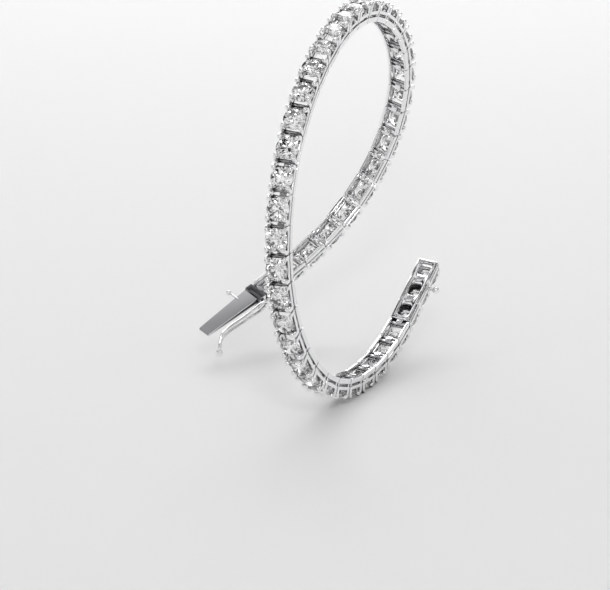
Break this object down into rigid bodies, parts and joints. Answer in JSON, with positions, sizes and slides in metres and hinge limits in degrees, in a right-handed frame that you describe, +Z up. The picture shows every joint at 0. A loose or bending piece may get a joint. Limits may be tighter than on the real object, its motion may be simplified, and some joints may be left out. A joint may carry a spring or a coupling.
{
  "type": "tennis bracelet",
  "caption": "White gold line bracelet of hinged four-prong round stone settings, open and standing upright, with a box clasp, a folded spring tongue and a swinging wire safety catch.",
  "frame": {"origin": "middle of the inner face of the topmost link, where the open bracelet hangs from whatever holds its spiral up", "axes": "+Z up, +X along the wide side of the loop towards the open ends, +Y along the wrist from the box's end of the spiral to the tongue's"},
  "size_m": [0.0549, 0.0297, 0.0544],
  "materials": {
    "polished_white_gold": "polished rhodium-plated 18 k white gold, with the colourless round brilliants set in it",
    "satin_white_gold": "fine satin white gold"
  },
  "bodies": {
    "bracelet": {"link_01": "polished_white_gold", "link_02": "polished_white_gold", "link_03": "polished_white_gold", "link_04": "polished_white_gold", "link_05": "polished_white_gold", "link_06": "polished_white_gold", "link_07": "polished_white_gold", "link_08": "polished_white_gold", "link_09": "polished_white_gold", "link_10": "polished_white_gold", "link_11": "polished_white_gold", "link_12": "polished_white_gold", "link_13": "polished_white_gold", "link_14": "polished_white_gold", "link_15": "polished_white_gold", "link_16": "polished_white_gold", "link_17": "polished_white_gold", "link_18": "polished_white_gold", "link_19": "polished_white_gold", "link_20": "polished_white_gold", "link_21": "polished_white_gold", "link_22": "polished_white_gold", "link_23": "polished_white_gold", "link_24": "polished_white_gold", "link_25": "polished_white_gold", "link_26": "polished_white_gold", "link_27": "polished_white_gold", "link_28": "polished_white_gold", "link_29": "polished_white_gold", "link_30": "polished_white_gold", "link_31": "polished_white_gold", "link_32": "polished_white_gold", "link_33": "polished_white_gold", "link_34": "polished_white_gold", "link_35": "polished_white_gold", "link_36": "polished_white_gold", "link_37": "polished_white_gold", "link_38": "polished_white_gold", "link_39": "polished_white_gold", "link_40": "polished_white_gold", "link_41": "polished_white_gold", "clasp_box": "polished_white_gold", "clasp_tongue": "satin_white_gold"},
    "catch": {"safety_catch": "polished_white_gold"}
  },
  "joints": [
    {"name": "catch_hinge", "type": "hinge", "parent": "bracelet", "child": "catch", "pos_m": [0.0066, 0.01617, -0.04423], "axis": [-0.2317, -0.9002, -0.3686], "range_deg": [0, 110]}
  ]
}
